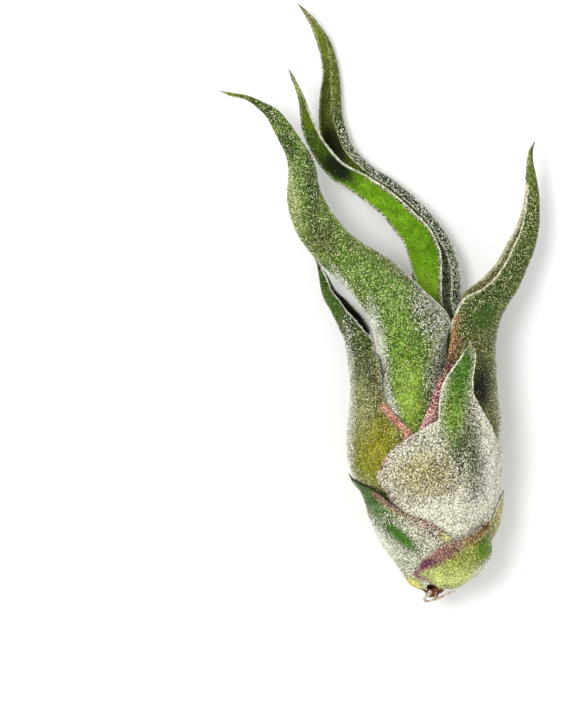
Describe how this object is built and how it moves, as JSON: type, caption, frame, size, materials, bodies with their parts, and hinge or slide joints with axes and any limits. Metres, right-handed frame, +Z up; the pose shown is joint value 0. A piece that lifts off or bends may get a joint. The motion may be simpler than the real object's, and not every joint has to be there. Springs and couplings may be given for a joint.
{
  "type": "air plant",
  "caption": "Air plant lying on its side: a swollen bulb of overlapping leaf bases, with long tapering leaves that bend and curl away from it, a stem stub and a dried root.",
  "frame": {"origin": "under the middle of the bounding box, on the surface that the plant lies on", "axes": "+Y from the stem stub towards the leaf tips, +Z up from the surface, +X to the right as seen from above with the tips away from the viewer"},
  "size_m": [0.079, 0.1486, 0.0395],
  "materials": {
    "leaf_base_right": "silvery scurf over yellow-green, with a purple margin",
    "leaf_base_left": "silvery scurf over green, with a purplish margin and a dry brown point",
    "leaf_base_back": "silvery scurf over yellow-green",
    "leaf_under": "silvery scurf over olive green",
    "leaf_front": "dense silvery white scurf, green along the blade",
    "leaf_left": "silvery scurf over olive, with a red margin",
    "leaf_right": "silvery scurf over dark green, with a red margin",
    "leaf_long": "silvery scurf over bright green",
    "leaf_middle": "smooth bright green inner face with pale margins",
    "leaf_top": "olive green channel with scurfy outer face",
    "stem": "dry, dark brown, broken end",
    "root": "dry, pale, wiry"
  },
  "bodies": {
    "root": {"leaf_base_right": "leaf_base_right", "leaf_base_left": "leaf_base_left", "leaf_base_back": "leaf_base_back", "leaf_under": "leaf_under", "leaf_front": "leaf_front", "leaf_left": "leaf_left", "leaf_right": "leaf_right", "leaf_long": "leaf_long", "leaf_middle": "leaf_middle", "leaf_top": "leaf_top", "stem": "stem", "root": "root"}
  },
  "joints": []
}
